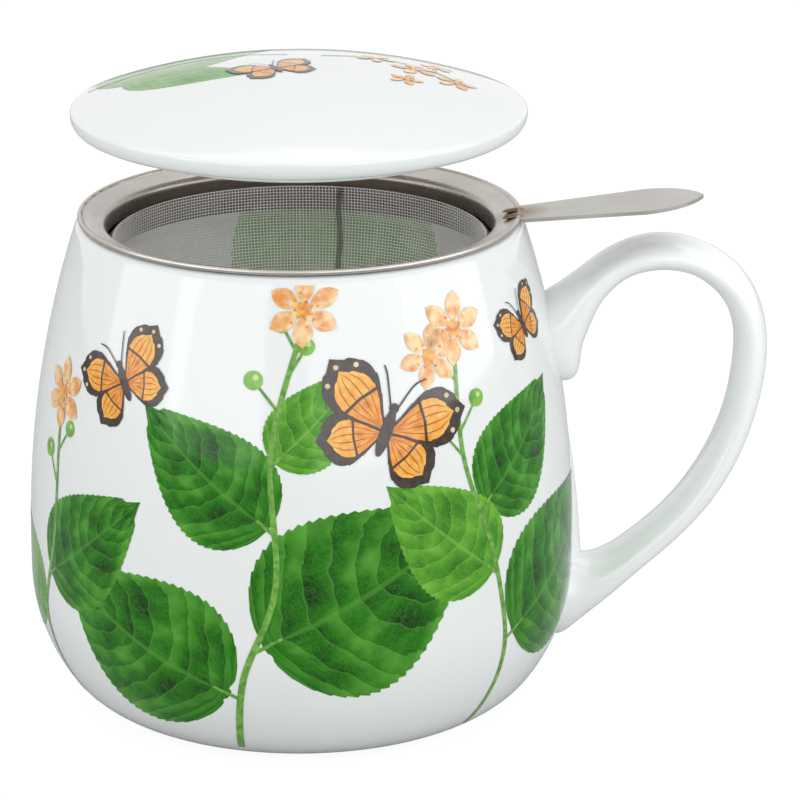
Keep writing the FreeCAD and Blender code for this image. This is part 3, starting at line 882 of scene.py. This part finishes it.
def disc(surface, kind, x, y, radius, material, layer, squash=1.0, angle=0, lobes=0,
         depth=0.0):
    """A round or lobed spot."""
    rings, spokes = 5, 28
    grid, uv = [], []
    for ring in range(rings):
        share = ring / (rings - 1)
        row, row_uv = [], []
        for spoke in range(spokes + 1):
            a = 2 * math.pi * spoke / spokes
            r = radius * share * (1 + depth * math.cos(lobes * a))
            px, py = turn_point(-r * math.cos(a) * squash, r * math.sin(a), angle)
            row.append((x + px, y + py))
            row_uv.append((0.5 + 0.5 * share * math.cos(a), 0.5 + 0.5 * share * math.sin(a)))
        grid.append(row)
        uv.append(row_uv)
    return sheet_of_points(surface, kind, grid, uv, material, layer)


def berry(surface, x, y, radius):
    disc(surface, "berry", x, y, radius, BERRY, BERRY_LAYER)
    disc(surface, "berry_tip", x + radius * 0.25, y + radius * 0.3, radius * 0.3, BERRY_TIP,
         BERRY_TIP_LAYER)


def blossom(surface, x, y, size, petals=6, turn=0):
    """A small open flower of cream petals with orange stamens."""
    for number in range(petals):
        angle = turn + 360 * number / petals
        px, py = turn_point(0, size * 0.12, angle)
        leaf(surface, x + px, y + py, angle, size * 0.55, size * 0.34, PETAL, 0.0, 3,
             PETAL_LAYER + PETAL_LAYER_STEP * (number % 3), 1.1)
    disc(surface, "stamen", x, y, size * 0.15, STAMEN, STAMEN_LAYER, lobes=7, depth=0.25)
    for number in range(petals * 2):
        angle = turn + 180 / petals * (number + 0.5)
        px, py = turn_point(0, size * (0.24 if number % 2 else 0.3), angle)
        disc(surface, "anther", x + px, y + py, size * 0.028, STAMEN, ANTHER_LAYER)


def wing(surface, angle, length, width, layer):
    leaf(surface, 0, 0, angle, length, width, WING_EDGE, 0.0, 5, layer, 1.6)
    px, py = turn_point(0, length * 0.06, angle)
    leaf(surface, px, py, angle, length * 0.78, width * 0.72, WING, 0.0, 5,
         layer + WING_CELL_RISE, 1.5)


def butterfly(surface, angle, size):
    """A spread butterfly, orange with dark wing edges and pale spots."""
    for side in (-1, 1):
        wing(surface, angle + side * 118, size * 0.48, size * 0.36, REAR_WING_LAYER)
        wing(surface, angle + side * 58, size * 0.62, size * 0.40, FRONT_WING_LAYER)
        for share, reach in ((44, 0.50), (58, 0.55), (72, 0.50)):
            px, py = turn_point(0, size * reach, angle + side * share)
            disc(surface, "wing_spot", px, py, size * 0.018, WING_SPOT, SPOT_LAYER)
        px, py = turn_point(side * size * 0.16, size * 0.42, angle)
        bx, by = turn_point(side * size * 0.02, size * 0.16, angle)
        stem(surface, [(bx, by), ((px + bx) * 0.55, (py + by) * 0.62), (px, py)],
             size * 0.012, size * 0.012, SPOT_LAYER, WING_EDGE)
    disc(surface, "insect_body", 0, 0, size * 0.17, WING_EDGE, BODY_LAYER,
         squash=0.26, angle=angle)
    px, py = turn_point(0, size * 0.17, angle)
    disc(surface, "insect_head", px, py, size * 0.035, WING_EDGE, HEAD_LAYER)


def sprig(surface, path, leaves, berries=(), blossoms=(), width=1.1):
    """A stalk with leaves, berries and blossoms, each given by its place along the stalk."""
    line = curve_points(path, 101)
    stem(surface, path, width)
    for share, angle, length, breadth, material in leaves:
        px, py = line[int(share * 100)]
        stalk = turn_point(0, length * 0.14, angle)
        stem(surface, [(px, py), (px + stalk[0], py + stalk[1])], width * 0.6)
        leaf(surface, px + stalk[0] * 0.8, py + stalk[1] * 0.8, angle, length, breadth, material,
             0.10 if angle < 0 else -0.10)
    for share, angle, reach, radius in berries:
        px, py = line[int(share * 100)]
        end = turn_point(0, reach, angle)
        stem(surface, [(px, py), (px + end[0], py + end[1])], width * 0.45, width * 0.35)
        berry(surface, px + end[0], py + end[1], radius)
    for share, angle, reach, size in blossoms:
        px, py = line[int(share * 100)]
        end = turn_point(0, reach, angle)
        stem(surface, [(px, py), (px + end[0], py + end[1])], width * 0.45, width * 0.35)
        blossom(surface, px + end[0], py + end[1], size, 6, angle)


# Layout of the print round the mug: sprigs rise from the foot, flowers and butterflies above
def print_mug():
    front = MugOutside(-100, 12)
    sprig(front, [(-4, -10), (-2, 8), (4, 26), (3, 50), (8, 72)], [
        (0.20, 64, 38, 30, LEAF_GREEN),
        (0.33, -60, 43, 35, LEAF_GREEN),
        (0.60, 50, 29, 21, LEAF_GREEN),
        (0.72, -42, 21, 14, LEAF_FRESH),
    ], [(0.82, 40, 7, 1.7), (0.88, -30, 6, 1.5), (0.93, 30, 5, 1.3)],
        [(0.99, 0, 3, 10)], 1.3)
    side = MugOutside(-48, 14)
    sprig(side, [(2, -12), (4, 6), (1, 24), (-5, 44), (-4, 64)], [
        (0.28, -60, 38, 30, LEAF_GREEN),
        (0.46, 48, 27, 20, LEAF_FRESH),
        (0.62, -50, 27, 20, LEAF_GREEN),
    ], [(0.75, 38, 8, 1.8), (0.80, -40, 7, 1.6)], [(0.90, 42, 7, 9), (0.99, -12, 3, 10)])
    left = MugOutside(-156, 14)
    sprig(left, [(0, -12), (-2, 8), (3, 26), (2, 48)], [
        (0.30, 55, 28, 19, LEAF_FRESH),
        (0.48, -52, 30, 21, LEAF_GREEN),
    ], [(0.78, 35, 7, 1.7), (0.86, -35, 6, 1.5)], [(0.99, 0, 3, 10)])
    butterfly(MugOutside(-72, 64), -24, 26)
    butterfly(MugOutside(-132, 70), 32, 20)
    butterfly(MugOutside(-28, 76), 18, 15)
    back = MugOutside(120, 12)
    sprig(back, [(4, -10), (1, 8), (-5, 28), (-3, 50), (-7, 70)], [
        (0.22, -60, 34, 24, LEAF_GREEN),
        (0.36, 56, 38, 27, LEAF_GREEN),
        (0.60, -46, 26, 17, LEAF_FRESH),
    ], [(0.80, 36, 7, 1.7), (0.88, -34, 6, 1.5)], [(0.99, 0, 3, 10)], 1.3)
    far = MugOutside(62, 14)
    sprig(far, [(0, -12), (3, 8), (0, 28), (4, 50)], [
        (0.28, 54, 30, 21, LEAF_FRESH),
        (0.50, -50, 30, 21, LEAF_GREEN),
    ], [(0.80, 35, 7, 1.6)], [(0.99, 0, 3, 9)])
    butterfly(MugOutside(92, 66), 20, 24)
    butterfly(MugOutside(160, 66), -22, 18)


def print_inside():
    for azimuth, length, breadth, angle in ((90, 58, 27, 186), (66, 54, 27, 174)):
        leaf(MugInside(azimuth, 87), 0, 0, angle, length, breadth, LEAF_INSIDE)


def print_lid():
    top = LidTop(-22, 6)
    leaf(top, -12, 2, -62, 34, 20, LEAF_SOFT)
    leaf(top, -8, -2, -108, 24, 13, LEAF_SOFT)
    stem(top, [(-16, 2), (-6, 6), (8, 8), (20, 5)], 0.8)
    right = LidTop(16, 2)
    stem(right, [(-12, 8), (-2, 9), (8, 4), (14, -4)], 0.7)
    for x, y, size in ((-2, 9, 6), (5, 3, 7), (12, -2, 6), (9, 9, 5), (3, -6, 5)):
        blossom(right, x, y, size, 5, x * 17)
    butterfly(LidTop(-4, -2), 24, 15)


print_mug()
print_inside()
print_lid()


# Floor, light and camera
FLOOR_HALF = 1.5
FLOOR_BOUNCE = (0.50, 0.51, 0.51, 1)
FLOOR_SEEN = (0.96, 0.96, 0.96, 1)
FLOOR_GLOW = 1.07
FLOOR_GLOW_SHARE = 0.86
AMBIENT = (0.98, 0.99, 1.0, 1)
AMBIENT_STRENGTH = 0.52
CENTRE = (0.01, 0.0, 0.05)
GLOW_RADIUS = 0.006


def make_floor():
    """A floor that the camera sees as white, with the object's soft shadow kept."""
    half = FLOOR_HALF
    mesh = bpy.data.meshes.new("floor")
    mesh.from_pydata([(-half, -half, 0), (half, -half, 0), (half, half, 0), (-half, half, 0)],
                     [], [(0, 1, 2, 3)])
    floor = bpy.data.objects.new("floor", mesh)
    bpy.context.scene.collection.objects.link(floor)
    material, nodes, links, shader = new_material("floor_white")
    shader.inputs["Roughness"].default_value = 0.8
    glow = nodes.new("ShaderNodeEmission")
    glow.inputs["Strength"].default_value = FLOOR_GLOW
    path = nodes.new("ShaderNodeLightPath")
    seen = path.outputs["Is Camera Ray"]
    tone = nodes.new("ShaderNodeMix")
    tone.data_type = "RGBA"
    links.new(seen, tone.inputs["Factor"])
    tone.inputs["A"].default_value = FLOOR_BOUNCE
    tone.inputs["B"].default_value = FLOOR_SEEN
    links.new(tone.outputs["Result"], shader.inputs["Base Color"])
    share = add_math(nodes, links, "MULTIPLY", seen, FLOOR_GLOW_SHARE)
    mix = nodes.new("ShaderNodeMixShader")
    links.new(share, mix.inputs["Fac"])
    links.new(shader.outputs["BSDF"], mix.inputs[1])
    links.new(glow.outputs["Emission"], mix.inputs[2])
    links.new(mix.outputs["Shader"], nodes["Material Output"].inputs["Surface"])
    mesh.materials.append(material)


def make_world():
    """Plain light all round; the camera and glossy surfaces see it as white."""
    world = bpy.data.worlds.new("studio")
    bpy.context.scene.world = world
    world.use_nodes = True
    nodes, links = world.node_tree.nodes, world.node_tree.links
    ambient = nodes["Background"]
    ambient.inputs["Color"].default_value = AMBIENT
    ambient.inputs["Strength"].default_value = AMBIENT_STRENGTH
    seen = nodes.new("ShaderNodeBackground")
    seen.inputs["Color"].default_value = (1, 1, 1, 1)
    path = nodes.new("ShaderNodeLightPath")
    clear = add_math(nodes, links, "MAXIMUM", path.outputs["Is Camera Ray"],
                     path.outputs["Is Glossy Ray"])
    mix = nodes.new("ShaderNodeMixShader")
    links.new(clear, mix.inputs["Fac"])
    links.new(ambient.outputs["Background"], mix.inputs[1])
    links.new(seen.outputs["Background"], mix.inputs[2])
    links.new(mix.outputs["Shader"], nodes["World Output"].inputs["Surface"])


def area_light(name, place, size, power):
    """A broad lamp, size and place in metres, turned to the middle of the object."""
    lamp = bpy.data.lights.new(name, "AREA")
    lamp.shape = "RECTANGLE"
    lamp.size, lamp.size_y = size
    lamp.energy = power
    light = bpy.data.objects.new(name, lamp)
    bpy.context.scene.collection.objects.link(light)
    light.location = place
    light.rotation_mode = "QUATERNION"
    light.rotation_quaternion = (Vector(CENTRE) - Vector(place)).to_track_quat("-Z", "Y")


def basket_light(name, place, power):
    """Stands in for the light that white porcelain throws back into the basket."""
    lamp = bpy.data.lights.new(name, "POINT")
    lamp.energy = power
    lamp.shadow_soft_size = GLOW_RADIUS
    light = bpy.data.objects.new(name, lamp)
    light.location = place
    light.visible_camera = False
    light.visible_glossy = False
    bpy.context.scene.collection.objects.link(light)


make_floor()
make_world()
area_light("key_right", (0.55, -1.05, 0.42), (1.1, 0.9), 4.1)
area_light("fill_left", (-0.75, -0.95, 0.38), (1.0, 0.8), 3.6)
area_light("side_right", (0.98, -0.28, 0.40), (0.9, 0.7), 3.9)
area_light("side_left", (-0.98, -0.28, 0.40), (0.9, 0.7), 2.4)
area_light("top_soft", (0.0, 0.15, 0.95), (1.2, 0.9), 3.4)
basket_light("basket_glow", (-0.006, -0.006, 0.042), 0.030)

# Camera of the photograph: 800 mm from the middle of the mug and 18.4 degrees above it, aimed
# to the right of its axis
CAMERA_PLACE = (0.0, -0.75901, 0.29778)
CAMERA_AIM = (0.01805, 0.0, 0.05564)
CAMERA_LENS = 196.4
camera_data = bpy.data.cameras.new("camera")
camera_data.lens = CAMERA_LENS
camera_data.sensor_width = 36.0
camera_data.clip_start = 0.05
camera_data.clip_end = 10.0
camera = bpy.data.objects.new("camera", camera_data)
bpy.context.scene.collection.objects.link(camera)
camera.location = CAMERA_PLACE
camera.rotation_mode = "QUATERNION"
camera.rotation_quaternion = (Vector(CAMERA_AIM) - Vector(CAMERA_PLACE)).to_track_quat("-Z", "Y")
bpy.context.scene.camera = camera
bpy.context.scene.view_settings.view_transform = "Standard"
